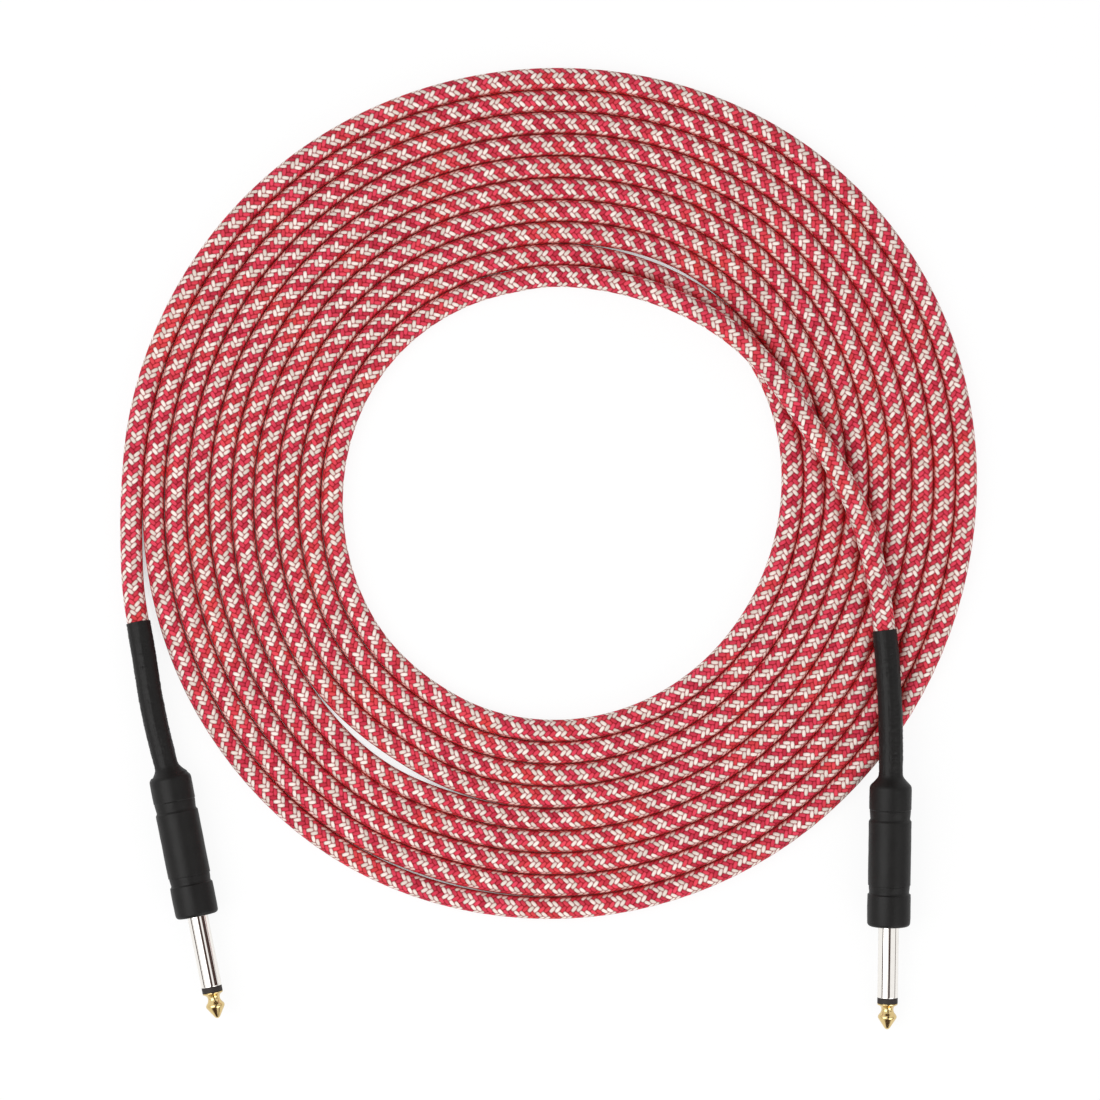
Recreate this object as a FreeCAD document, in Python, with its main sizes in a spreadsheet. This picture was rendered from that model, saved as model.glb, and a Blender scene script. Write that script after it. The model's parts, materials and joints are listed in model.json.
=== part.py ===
import FreeCAD
import Part
import Sketcher
import math
import os

# Instrument cable, 6 m, with a 6.35 mm two-pole jack plug on each end. It lies on a table as it is
# sold: wound by hand into a flat coil, plug A beside the coil on the cord's outer end, and plug B on
# the inner end, which climbs out of the hole and crosses over the turns. Millimetres, +Z up.
#
# The row's frame has its origin on the table, under the middle of the two plugs' own box.
# Each plug has a frame of its own: origin on its axis at the handle's rear shoulder, +X to its tip.

SIZES = {
    # cord
    "cord_diameter": 6.6,
    "braid_wall": 0.3,
    "jacket_wall": 0.9,
    "shield_wall": 0.4,
    "conductor_diameter": 1.0,
    # flat coil
    "coil_x": 10.2,
    "coil_y": 100.8,
    "coil_rim_radius": 131.9,
    "coil_turn_gap": 0.24,
    "coil_inner_end_deg": 80.0,
    # where each plug's shoulder lies, by clock angle and distance outside the rim
    "plug_a_clock_deg": -36.30,
    "plug_a_off_rim": 14.89,
    "plug_a_heading_deg": -78.7,
    "plug_b_clock_deg": -139.54,
    "plug_b_off_rim": 5.71,
    "plug_b_heading_deg": -90.6,
    "plug_b_rim_run": 16.0,
    "ride_gap": 0.25,
    # jack
    "jack_diameter": 6.35,
    "jack_length": 32.25,
    "ring_width": 1.8,
    "contact_length": 8.2,
    "flange_width": 0.4,
    "neck_span": 3.3,
    "neck_round": 1.75,
    "bulb_width": 0.8,
    "bulb_diameter": 5.85,
    "nose_diameter": 1.8,
    "nose_round": 1.1,
    "rod_diameter": 2.4,
    "rod_sleeving_wall": 0.85,
    "fit_gap": 0.03,
    # collar, thread and the stack behind it
    "collar_length": 11.1,
    "collar_bevel": 0.8,
    "spigot_length": 6.8,
    "bush_flange_diameter": 5.8,
    "bush_flange_width": 0.8,
    "bush_tube_length": 3.0,
    "tag_thickness": 0.7,
    "sleeve_tag_gap": 0.2,
    "clamp_length": 4.0,
    "clamp_wrap_deg": 250.0,
    "tip_tag_width": 2.6,
    "tip_tag_ring_diameter": 5.4,
    "rivet_diameter": 3.8,
    "rivet_height": 0.8,
    # housing and its liner
    "handle_length": 43.4,
    "housing_diameter": 12.0,
    "housing_wall": 0.97,
    "housing_cone_length": 2.6,
    "housing_cone_wall": 0.35,
    "housing_floor": 2.2,
    "cable_hole_gap": 0.2,
    "liner_wall": 0.4,
    "groove_place": 8.9,
    "groove_width": 1.8,
    "groove_round": 0.93,
    # heat-shrink sleeve over housing and cord
    "shrink_wall": 0.6,
    "shrink_tail_wall": 0.25,
    "shrink_tail_gap": 0.02,
    "shrink_tail_straight": 8.0,
    "shrink_dip": 0.35,
    "shrink_dip_width": 3.6,
    "shrink_lip_round": 1.2,
    "shrink_lip_hole": 8.6,
    # stripped end of the cord inside the housing
    "cord_face": -1.0,
    "pigtail_diameter": 1.2,
    "solder_length": 3.6,
    "solder_spread": 1.7,
    "solder_skin": 0.15,
}

# Slow wander of a coil laid by hand: bumps per turn, height at the rim and at the hole, and the
# clock angle that the first bump faces. Clock angles start at -X and run through +Y to +X.
WANDER = (
    (1, 0.6, 1.5, 160.0),
    (2, 1.3, 1.1, -55.0),
    (3, 0.5, 0.6, 30.0),
    (4, 0.3, 0.3, -42.5),
)

# Places where two neighbouring turns part: turns outside the gap, clock angle, half span, width.
GAPS = (
    (5, 303.0, 17.0, 2.4),
    (8, 115.0, 20.0, 1.1),
    (1, 288.0, 14.0, 0.5),
)
GAP_FADE = 0.75  # share of a gap's push that each further turn still feels

# Where each stripped layer ends and each fitting starts inside a housing, as shares of the way from
# the housing's floor to the rivet.
BRAID_END_SHARE = 0.03
CLAMP_START_SHARE = 0.07
JACKET_END_SHARE = 0.315
SHIELD_END_SHARE = 0.416
CORE_END_SHARE = 0.579
TIP_TAG_START_SHARE = 0.67
PIGTAIL_END_SHARE = 0.802
WIRE_END_SHARE = 0.878

FULL_TURN = 360.0
COIL_TURNS = 9  # whole turns before the part turn that ends at coil_inner_end_deg
EDGE_SHARE = 0.44  # radius of the coil's rounded edges, as a share of the cord's diameter

# Points of the two free stretches, each (clock angle, share of the way from the hole's nominal edge
# to the rim, height in cord diameters). Each list starts after the straight run that leaves the coil
# and ends before the run on the plug's axis.
LEAD_A_FIRST_RUN = 15.0
LEAD_A_POINTS = ((-13.02, 1.019, 0.53), (-19.97, 1.044, 0.76))
LEAD_B_FIRST_RUN = 10.0
LEAD_B_POINTS = (
    (97.6, 0.008, 0.70),
    (109.1, 0.021, 1.26),
    (121.4, 0.050, 1.56),
    (133.0, 0.093, 1.58),
    (144.3, 0.136, 1.56),
    (155.0, 0.169, 1.56),
    (164.9, 0.226, 1.56),
    (173.9, 0.312, 1.56),
    (182.4, 0.413, 1.56),
    (190.4, 0.514, 1.56),
    (197.8, 0.614, 1.56),
    (205.0, 0.731, 1.59),
)
PLUG_RUN_BACK = 18.0  # last run of each stretch starts this far behind the plug's shoulder

CORNER_SHARE = 0.45  # share of the shorter run that a rounded corner takes
OUTLINE_STEP = 10.0  # degrees between the points that a coil outline passes through

Vector = FreeCAD.Vector
X_AXIS = Vector(1, 0, 0)
Z_AXIS = Vector(0, 0, 1)

doc = FreeCAD.newDocument("InstrumentCable")
sheet = doc.addObject("Spreadsheet::Sheet", "Sizes")
for row, (alias, value) in enumerate(SIZES.items(), start=1):
    sheet.set(f"A{row}", alias)
    sheet.set(f"B{row}", str(value))
    sheet.setAlias(f"B{row}", alias)
doc.recompute()


def size(alias):
    """Value of one spreadsheet cell."""
    return float(sheet.get(alias))


def bound(text):
    """Expression text with each alias read from the sheet."""
    words = set(SIZES)
    parts = []
    word = ""
    for letter in text + " ":
        if letter.isalnum() or letter == "_":
            word += letter
            continue
        parts.append(f"Sizes.{word}" if word in words else word)
        parts.append(letter)
        word = ""
    return "".join(parts).strip()


def value_of(text):
    """Number that an expression on the sheet's aliases gives now."""
    return float(sheet.evalExpression(bound(text).replace("Sizes.", "")))


# ---- places along a plug's axis and radii about it, as expressions on the sheet ----
JACK_R = "jack_diameter / 2"
ROD_R = "rod_diameter / 2"
ROD_HOLE_R = "(rod_diameter / 2 + fit_gap)"
SLEEVING_R = "(rod_diameter / 2 + fit_gap + rod_sleeving_wall)"
BORE_R = "(rod_diameter / 2 + 2 * fit_gap + rod_sleeving_wall)"
HOUSING_R = "housing_diameter / 2"
HOUSING_BORE_R = "(housing_diameter / 2 - housing_wall)"
SPIGOT_R = "(housing_diameter / 2 - housing_wall - fit_gap)"
LINER_INNER_R = "(housing_diameter / 2 - housing_wall - fit_gap - liner_wall)"
CABLE_HOLE_R = "(cord_diameter / 2 + cable_hole_gap)"
CONE_END_R = "(cord_diameter / 2 + cable_hole_gap + housing_cone_wall)"
HANDLE_R = "(housing_diameter / 2 + shrink_wall)"
TAIL_INNER_R = "(cord_diameter / 2 + shrink_tail_gap)"
TAIL_R = "(cord_diameter / 2 + shrink_tail_gap + shrink_tail_wall)"
BRAID_INNER_R = "(cord_diameter / 2 - braid_wall)"
JACKET_INNER_R = "(cord_diameter / 2 - braid_wall - jacket_wall)"
CORE_R = "(cord_diameter / 2 - braid_wall - jacket_wall - shield_wall)"
WIRE_R = "conductor_diameter / 2"

FACE = "(handle_length - shrink_wall)"
COLLAR_BACK = "(handle_length - shrink_wall - collar_length)"
SPIGOT_BACK = "(handle_length - shrink_wall - collar_length - spigot_length)"
TAG_BACK = f"({SPIGOT_BACK} - tag_thickness)"
BUSH_BACK = f"({TAG_BACK} - bush_flange_width)"
TIP_TAG_BACK = f"({BUSH_BACK} - tag_thickness)"
RIVET_BACK = f"({TIP_TAG_BACK} - rivet_height)"
BUSH_FRONT = f"({SPIGOT_BACK} + bush_tube_length)"
SLEEVE_END = "(handle_length + jack_length - contact_length - ring_width)"
RING_END = "(handle_length + jack_length - contact_length)"
TIP_END = "(handle_length + jack_length)"
CONE_BACK = "(-housing_cone_length)"
STRIP_LOW = "(cord_diameter / 2 - braid_wall + fit_gap + tag_thickness)"
SLEEVE_TAG_R = f"({LINER_INNER_R} - sleeve_tag_gap)"
SLEEVE_TAG_HALF = f"sqrt({SLEEVE_TAG_R} ^ 2 - {STRIP_LOW} ^ 2)"
COIL_PITCH = "(cord_diameter + coil_turn_gap)"


def inside(share):
    """Place between the housing's floor and the rivet, as an expression."""
    return f"(housing_floor + {share} * ({RIVET_BACK} - housing_floor))"


def add_body(name, label):
    """Empty PartDesign body with its file's name as its label."""
    body = doc.addObject("PartDesign::Body", name)
    body.Label = label
    return body


def origin_plane(body, role):
    """One of a body's own origin planes."""
    return next(item for item in body.Origin.OriginFeatures if item.Role == role)


def arc_between(start, end, radius, side):
    """Arc from start to end whose centre lies on the left (+1) or the right (-1) of its chord."""
    half = (end - start).Length / 2
    along = (end - start).normalize()
    left = Vector(-along.y, along.x, 0)
    centre = (start + end) / 2 + left * side * math.sqrt(max(radius * radius - half * half, 0.0))
    first = math.atan2(start.y - centre.y, start.x - centre.x)
    last = math.atan2(end.y - centre.y, end.x - centre.x)
    circle = Part.Circle(centre, Z_AXIS, radius)
    return Part.ArcOfCircle(circle, first, last) if side > 0 else Part.ArcOfCircle(circle, last, first)


def draw_outline(body, name, role, corners):
    """Closed sketch through the corners, each (x, y) or, where an arc arrives, (x, y, radius, side)."""
    sketch = body.newObject("Sketcher::SketchObject", name)
    sketch.AttachmentSupport = [(origin_plane(body, role), "")]
    sketch.MapMode = "FlatFace"
    places = [Vector(value_of(corner[0]), value_of(corner[1]), 0) for corner in corners]
    count = len(corners)
    ends = []
    for index in range(count):
        start = places[index]
        end = places[(index + 1) % count]
        arrival = corners[(index + 1) % count]
        if len(arrival) == 2:
            sketch.addGeometry(Part.LineSegment(start, end), False)
            ends.append((1, 2))
        else:
            sketch.addGeometry(arc_between(start, end, value_of(arrival[2]), arrival[3]), False)
            ends.append((1, 2) if arrival[3] > 0 else (2, 1))
    for index in range(count):
        following = (index + 1) % count
        join = Sketcher.Constraint("Coincident", index, ends[index][1], following, ends[following][0])
        sketch.addConstraint(join)
    for index, corner in enumerate(corners):
        for kind, text, place in (
            ("DistanceX", corner[0], places[index].x),
            ("DistanceY", corner[1], places[index].y),
        ):
            number = sketch.addConstraint(Sketcher.Constraint(kind, -1, 1, index, ends[index][0], place))
            sketch.setExpression(f"Constraints[{number}]", bound(text))
        if len(corner) == 4:
            arc = (index - 1) % count
            number = sketch.addConstraint(Sketcher.Constraint("Radius", arc, value_of(corner[2])))
            sketch.setExpression(f"Constraints[{number}]", bound(corner[2]))
    return sketch


def turned(name, label, corners):
    """Body turned about its plug's axis from a half outline."""
    body = add_body(name, label)
    sketch = draw_outline(body, name + "_outline", "XZ_Plane", corners)
    revolution = body.newObject("PartDesign::Revolution", name + "_turning")
    revolution.Profile = sketch
    revolution.ReferenceAxis = (sketch, ["H_Axis"])
    revolution.Angle = FULL_TURN
    sketch.Visibility = False
    return body


def tube_body(name, label, start, end, inner, outer):
    """Plain tube about the plug's axis."""
    return turned(name, label, ((start, inner), (start, outer), (end, outer), (end, inner)))


def cylinder(name, start, length, radius, angle="360"):
    """Part cylinder along the plug's axis."""
    solid = doc.addObject("Part::Cylinder", name)
    solid.Placement = FreeCAD.Placement(Vector(), FreeCAD.Rotation(Vector(0, 1, 0), 90))
    solid.setExpression("Placement.Base.x", bound(start))
    solid.setExpression("Height", bound(length))
    solid.setExpression("Radius", bound(radius))
    solid.setExpression("Angle", bound(angle))
    return solid


def box(name, corner, lengths):
    """Part box from its lowest corner."""
    solid = doc.addObject("Part::Box", name)
    for axis, text in zip("xyz", corner):
        solid.setExpression(f"Placement.Base.{axis}", bound(text))
    for side, text in zip(("Length", "Width", "Height"), lengths):
        solid.setExpression(side, bound(text))
    return solid


def fused(name, *pieces):
    """Part union of several objects."""
    union = doc.addObject("Part::MultiFuse", name)
    union.Shapes = list(pieces)
    return union


def cut(name, base, tool):
    """Part difference of two objects."""
    difference = doc.addObject("Part::Cut", name)
    difference.Base = base
    difference.Tool = tool
    return difference


# ---- the cord: one formula for the coil and rounded routes for the free stretches ----
def clock_direction(clock):
    """Unit vector from the middle of the coil to a clock angle."""
    return Vector(-math.cos(math.radians(clock)), math.sin(math.radians(clock)), 0)


def clock_tangent(clock):
    """Unit vector of growing clock angle."""
    return Vector(math.sin(math.radians(clock)), math.cos(math.radians(clock)), 0)


def gap_push(clock, turn):
    """Shift of a turn (1 is the outermost) where its neighbours part."""
    push = 0.0
    for outside, middle, half_span, width in GAPS:
        away = (clock - middle + 180.0) % FULL_TURN - 180.0
        if abs(away) < half_span:
            swell = 0.5 + 0.5 * math.cos(math.pi * away / half_span)
            if turn <= outside:
                push += width / 2 * swell * GAP_FADE ** (outside - turn)
            else:
                push -= width / 2 * swell * GAP_FADE ** (turn - outside - 1)
    return push


def coil_radius(wound):
    """Distance of the cord's centre line from the middle, after so many degrees from the outer end."""
    turns = wound / FULL_TURN
    clock = wound % FULL_TURN
    inward = turns / (COIL_TURNS + size("coil_inner_end_deg") / FULL_TURN)
    radius = size("coil_rim_radius") - value_of(COIL_PITCH) * turns
    for bumps, at_rim, at_hole, facing in WANDER:
        height = at_rim + (at_hole - at_rim) * inward
        radius += height * math.cos(math.radians(bumps * (clock - facing)))
    return radius + gap_push(clock, int(turns) + 1)


def coil_middle():
    """Middle of the coil on the table."""
    return Vector(size("coil_x"), size("coil_y"), 0)


def cord_height():
    """Height of the centre line of cord that lies on the table."""
    return Vector(0, 0, size("cord_diameter") / 2)


def inner_end():
    """Degrees wound from the outer end to the coil's inner end."""
    return COIL_TURNS * FULL_TURN + size("coil_inner_end_deg")


def spiral_outline(first, side):
    """Closed wire of one turn's edge from the angle first, closed by its radial step."""
    count = round(FULL_TURN / OUTLINE_STEP)
    reach = side * size("cord_diameter") / 2
    places = []
    for index in range(count + 1):
        wound = first + index * FULL_TURN / count
        places.append(coil_middle() + clock_direction(wound) * (coil_radius(wound) + reach))
    curve = Part.BSplineCurve()
    curve.interpolate(places)
    return Part.Wire([curve.toShape(), Part.LineSegment(places[-1], places[0]).toShape()])


def over_coil(clock, share, height):
    """Point by clock angle, share of the way from the hole's nominal edge to the rim, and height."""
    band = value_of(COIL_PITCH) * inner_end() / FULL_TURN
    radius = size("coil_rim_radius") - band * (1 - share)
    return coil_middle() + clock_direction(clock) * radius + Z_AXIS * (height * size("cord_diameter"))


def coil_shape():
    """Flat plate with the coil's outer shape and hole, its long edges rounded as the cord is."""
    rim = Part.Face(spiral_outline(0.0, 1))
    hole = Part.Face(spiral_outline(inner_end() - FULL_TURN, -1))
    plate = rim.cut(hole).extrude(Vector(0, 0, size("cord_diameter")))
    plate = plate.Solids[0]
    long_edges = [
        edge
        for edge in plate.Edges
        if edge.BoundBox.ZLength < 1e-6 and edge.Length > FULL_TURN
    ]
    return plate.makeFillet(EDGE_SHARE * size("cord_diameter"), long_edges)


def corner_radii(points):
    """Radius of each inner corner of a route, from its turn and its shorter run."""
    radii = []
    for before, corner, after in zip(points, points[1:], points[2:]):
        run = min((corner - before).Length, (after - corner).Length)
        turn = (corner - before).getAngle(after - corner)
        radii.append(CORNER_SHARE * run / math.tan(turn / 2))
    return radii


def rounded_wire(points, radii):
    """Wire of straight runs joined by tangent arcs."""
    edges = []
    start = points[0]
    for corner, after, before, radius in zip(points[1:], points[2:], points, radii):
        incoming = (corner - before).normalize()
        outgoing = (after - corner).normalize()
        half_turn = incoming.getAngle(outgoing) / 2
        reach = radius * math.tan(half_turn)
        arc_start = corner - incoming * reach
        arc_end = corner + outgoing * reach
        inside = (outgoing - incoming).normalize()
        middle = corner + inside * radius * (1 / math.cos(half_turn) - 1)
        edges.append(Part.LineSegment(start, arc_start).toShape())
        edges.append(Part.Arc(arc_start, middle, arc_end).toShape())
        start = arc_end
    edges.append(Part.LineSegment(start, points[-1]).toShape())
    return Part.Wire(edges)


def swept_round(wire, radius):
    """Solid of a round section along a wire."""
    start = wire.Edges[0]
    section = Part.Circle(start.valueAt(start.FirstParameter), start.tangentAt(start.FirstParameter), radius)
    return wire.makePipeShell([Part.Wire([section.toShape()])], True, False)


# ---- plugs ----
def carried_slope():
    """Rise of plug B towards the cord, per millimetre: rim of the coil behind, front lip on the table."""
    axis_over_rim = size("cord_diameter") + value_of(TAIL_R) + size("ride_gap")
    span = size("plug_b_rim_run") + size("handle_length") - size("shrink_lip_round")
    return (axis_over_rim - value_of(HANDLE_R)) / span


def plug_placement(plug):
    """Placement of a plug's frame in the row's frame."""
    heading = FreeCAD.Rotation(Z_AXIS, size(f"{plug}_heading_deg"))
    slope = carried_slope() if plug == "plug_b" else 0.0
    lip_place = size("handle_length") - size("shrink_lip_round")
    shoulder_height = value_of(HANDLE_R) + slope * lip_place
    distance = size("coil_rim_radius") + size(f"{plug}_off_rim")
    base = coil_middle() + clock_direction(size(f"{plug}_clock_deg")) * distance
    base.z = shoulder_height
    tilt = FreeCAD.Rotation(Vector(0, 1, 0), math.degrees(math.atan(slope)))
    return FreeCAD.Placement(base, heading * tilt)


def on_axis(plug, place):
    """Point on a plug's axis in the row's frame."""
    return plug_placement(plug).multVec(Vector(place, 0, 0))


def lead_points(plug):
    """Route of the free cord from the coil's end to the plug, in the row's frame."""
    if plug == "plug_a":
        wound, forward, chosen, first_run = 0.0, -1, LEAD_A_POINTS, LEAD_A_FIRST_RUN
    else:
        wound, forward, chosen, first_run = inner_end(), 1, LEAD_B_POINTS, LEAD_B_FIRST_RUN
    start = coil_middle() + clock_direction(wound) * coil_radius(wound) + cord_height()
    points = [start, start + clock_tangent(wound) * forward * first_run]
    points += [over_coil(*place) for place in chosen]
    points += [on_axis(plug, -PLUG_RUN_BACK), on_axis(plug, size("cord_face"))]
    return points


def tail_wire(plug):
    """Centre line of the cord under the heat-shrink, in the plug's own frame."""
    points = lead_points(plug)
    middle = (points[-4] + points[-3]) / 2
    kept = [middle, points[-3], points[-2], on_axis(plug, -size("shrink_tail_straight"))]
    local = plug_placement(plug).inverse()
    return rounded_wire([local.multVec(point) for point in kept], corner_radii(points)[-2:])


def feature(name, label, shape, placement):
    """Part feature that holds a finished shape."""
    item = doc.addObject("Part::Feature", name)
    item.Label = label
    item.Shape = shape
    item.Placement = placement
    return item


def tip_contact(name, label):
    """Turned tip: rod through the jack, flange, neck, bulb and pointed nose, riveted over its tag."""
    bulb_start = f"({RING_END} + flange_width + neck_span)"
    return turned(name, label, (
        (RIVET_BACK, "0"),
        (RIVET_BACK, "rivet_diameter / 2 - rivet_height / 2"),
        (f"{RIVET_BACK} + rivet_height / 2", "rivet_diameter / 2"),
        (TIP_TAG_BACK, "rivet_diameter / 2"),
        (TIP_TAG_BACK, ROD_R),
        (RING_END, ROD_R),
        (RING_END, JACK_R),
        (f"{RING_END} + flange_width", JACK_R),
        (bulb_start, "bulb_diameter / 2", "neck_round", 1),
        (f"{bulb_start} + bulb_width", "bulb_diameter / 2"),
        (f"{TIP_END} - nose_diameter / 4", "nose_diameter / 2"),
        (TIP_END, "0", "nose_round", -1),
    ))


def ring_insulator(name, label):
    """Black ring between tip and sleeve."""
    return tube_body(name, label, SLEEVE_END, RING_END, ROD_HOLE_R, JACK_R)


def rod_sleeving(name, label):
    """Insulating tube round the rod inside the sleeve."""
    return tube_body(name, label, BUSH_FRONT, SLEEVE_END, ROD_HOLE_R, SLEEVING_R)


def jack_sleeve(name, label):
    """Turned sleeve with its collar and the threaded spigot that the housing screws on to."""
    return turned(name, label, (
        (SPIGOT_BACK, BORE_R),
        (SPIGOT_BACK, SPIGOT_R),
        (COLLAR_BACK, SPIGOT_R),
        (COLLAR_BACK, f"{HOUSING_R} - collar_bevel"),
        (f"{COLLAR_BACK} + collar_bevel", HOUSING_R),
        (f"{FACE} - collar_bevel / 2", HOUSING_R),
        (FACE, f"{HOUSING_R} - collar_bevel / 2"),
        (FACE, JACK_R),
        (SLEEVE_END, JACK_R),
        (SLEEVE_END, BORE_R),
    ))


def rear_bush(name, label):
    """Flanged insulating bush that keeps the two tags apart."""
    return turned(name, label, (
        (BUSH_BACK, ROD_HOLE_R),
        (BUSH_BACK, "bush_flange_diameter / 2"),
        (TAG_BACK, "bush_flange_diameter / 2"),
        (TAG_BACK, SLEEVING_R),
        (BUSH_FRONT, SLEEVING_R),
        (BUSH_FRONT, ROD_HOLE_R),
    ))


def tip_tag(name, label):
    """Solder tag riveted on the rod: a ring and a tongue back towards the cord."""
    ring = cylinder(name + "_ring", TIP_TAG_BACK, "tag_thickness", "tip_tag_ring_diameter / 2")
    tongue = box(
        name + "_tongue",
        (inside(TIP_TAG_START_SHARE), "-tip_tag_width / 2", "rivet_diameter / 2 + fit_gap"),
        (f"{BUSH_BACK} - {inside(TIP_TAG_START_SHARE)}", "tip_tag_width", "tag_thickness"),
    )
    hole = cylinder(name + "_hole", TIP_TAG_BACK, "tag_thickness", ROD_HOLE_R)
    tag = cut(name, fused(name + "_blank", ring, tongue), hole)
    tag.Label = label
    return tag


def sleeve_tag(name, label):
    """Stamped tag of the sleeve: ring on the spigot, strip under the cord and a clamp round its jacket."""
    clamp_start = inside(CLAMP_START_SHARE)
    ring = cylinder(name + "_ring", TAG_BACK, "tag_thickness", SLEEVE_TAG_R)
    strip = box(
        name + "_strip",
        (clamp_start, f"-{SLEEVE_TAG_HALF}", f"-{STRIP_LOW}"),
        (f"{SPIGOT_BACK} - {clamp_start}", f"2 * {SLEEVE_TAG_HALF}", "tag_thickness"),
    )
    jaws = cylinder(name + "_jaws", clamp_start, "clamp_length", STRIP_LOW, "clamp_wrap_deg")
    roll = FreeCAD.Rotation(X_AXIS, size("clamp_wrap_deg") / 2)
    jaws.Placement = FreeCAD.Placement(Vector(value_of(clamp_start), 0, 0), roll * jaws.Placement.Rotation)
    blank = fused(name + "_blank", ring, strip, jaws)
    jacket_hole = cylinder(
        name + "_jacket_hole", clamp_start, "clamp_length", f"{BRAID_INNER_R} + fit_gap"
    )
    rod_hole = cylinder(name + "_rod_hole", TAG_BACK, "tag_thickness", BORE_R)
    tag = cut(name, blank, fused(name + "_holes", jacket_hole, rod_hole))
    tag.Label = label
    return tag


def housing(name, label):
    """Metal shell: coned rear, one turned groove, bevelled edge against the collar."""
    return turned(name, label, (
        (CONE_BACK, CABLE_HOLE_R),
        (CONE_BACK, CONE_END_R),
        ("0", HOUSING_R),
        ("groove_place - groove_width / 2", HOUSING_R),
        ("groove_place + groove_width / 2", HOUSING_R, "groove_round", 1),
        (f"{COLLAR_BACK} - collar_bevel", HOUSING_R),
        (COLLAR_BACK, f"{HOUSING_R} - collar_bevel"),
        (COLLAR_BACK, HOUSING_BORE_R),
        ("housing_floor", HOUSING_BORE_R),
        ("0", CABLE_HOLE_R),
    ))


def housing_liner(name, label):
    """Insulating tube inside the housing."""
    start = "housing_floor + fit_gap"
    return tube_body(name, label, start, f"{SPIGOT_BACK} - fit_gap", LINER_INNER_R, SPIGOT_R)


def cable_braid(name, label):
    """Cut end of the textile braid."""
    return tube_body(name, label, "cord_face", inside(BRAID_END_SHARE), BRAID_INNER_R, "cord_diameter / 2")


def cable_jacket(name, label):
    """Cut end of the plastic jacket under the braid."""
    end = inside(JACKET_END_SHARE)
    return tube_body(name, label, "cord_face", end, JACKET_INNER_R, BRAID_INNER_R)


def cable_core(name, label):
    """Cut end of the core's insulation."""
    return tube_body(name, label, "cord_face", inside(CORE_END_SHARE), WIRE_R, CORE_R)


def core_wire_points():
    """Route of the conductor from the core up under the tip tag."""
    height = value_of("rivet_diameter / 2 - conductor_diameter / 2")
    core_end = value_of(inside(CORE_END_SHARE))
    wire_end = value_of(inside(WIRE_END_SHARE))
    return [
        Vector(size("cord_face"), 0, 0),
        Vector(core_end + size("conductor_diameter"), 0, 0),
        Vector((core_end + wire_end) / 2, 0, height),
        Vector(wire_end, 0, height),
    ]


def core_wire(name, label, placement):
    """Bare conductor, bent up to the tip tag."""
    points = core_wire_points()
    bend = 1.5 * size("conductor_diameter")
    wire = rounded_wire(points, [bend, bend])
    return feature(name, label, swept_round(wire, size("conductor_diameter") / 2), placement)


def pigtail_height():
    """Height of the twisted shield where it is soldered on the sleeve tag."""
    return value_of(f"tag_thickness + fit_gap + pigtail_diameter / 2 - {STRIP_LOW}")


def cable_shield(name, label, placement):
    """Wrapped shield, gathered below the core into a pigtail on the sleeve tag."""
    shield_end = value_of(inside(SHIELD_END_SHARE))
    shield_length = shield_end - size("cord_face")
    start = Vector(size("cord_face"), 0, 0)
    wrap = Part.makeCylinder(value_of(JACKET_INNER_R), shield_length, start, X_AXIS)
    root_height = -(value_of(JACKET_INNER_R) + value_of(CORE_R)) / 2
    root = shield_end - size("pigtail_diameter") / 2
    end = value_of(inside(PIGTAIL_END_SHARE))
    points = [
        Vector(root, 0, root_height),
        Vector(root + 0.4 * (end - root), 0, pigtail_height()),
        Vector(end, 0, pigtail_height()),
    ]
    pigtail = swept_round(rounded_wire(points, [size("pigtail_diameter")]), size("pigtail_diameter") / 2)
    core_length = value_of(inside(CORE_END_SHARE)) - size("cord_face")
    core = Part.makeCylinder(value_of(CORE_R), core_length, start, X_AXIS)
    return feature(name, label, wrap.fuse(pigtail).cut(core).removeSplitter(), placement)


def solder_drop(wire_end, wire_height, wire, thickness, tag_side):
    """Spindle of solder round the end of a level wire, flat where it wets the tag on one side of it."""
    length = size("solder_length")
    thick = thickness * size("solder_spread") / 2
    thin = thickness / 2 + size("solder_skin")
    front = wire_end + size("solder_skin")
    half_outline = ((0.0, 0.0), (0.0, thin), (0.3, thick), (0.7, thick), (1.0, thin), (1.0, 0.0))
    corners = [Vector(front - length * share, 0, wire_height + radius) for share, radius in half_outline]
    face = Part.Face(Part.makePolygon(corners + corners[:1]))
    drop = face.revolve(Vector(0, 0, wire_height), X_AXIS, FULL_TURN)
    tag_face = wire_height + tag_side * (thickness / 2 + size("fit_gap"))
    low = tag_face if tag_side > 0 else tag_face - 2 * thick
    tag_room = Part.makeBox(length, 4 * thick, 2 * thick, Vector(front - length, -2 * thick, low))
    return drop.cut(tag_room).cut(wire.Shape)


def tip_solder(name, label, placement, wire):
    """Solder between the conductor and the tip tag above it."""
    end = core_wire_points()[-1]
    shape = solder_drop(end.x, end.z, wire, size("conductor_diameter"), 1)
    return feature(name, label, shape, placement)


def sleeve_solder(name, label, placement, shield):
    """Solder between the shield's pigtail and the sleeve tag below it."""
    end = value_of(inside(PIGTAIL_END_SHARE))
    shape = solder_drop(end, pigtail_height(), shield, size("pigtail_diameter"), -1)
    return feature(name, label, shape, placement)


def dip(middle, radius, half):
    """Corners of a shallow dip in the heat-shrink over a groove, half its width to each side."""
    return (
        (f"{middle} - {half}", radius),
        (f"{middle} - {half} / 3", f"{radius} - shrink_dip"),
        (f"{middle} + {half} / 3", f"{radius} - shrink_dip"),
        (f"{middle} + {half}", radius),
    )


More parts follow.
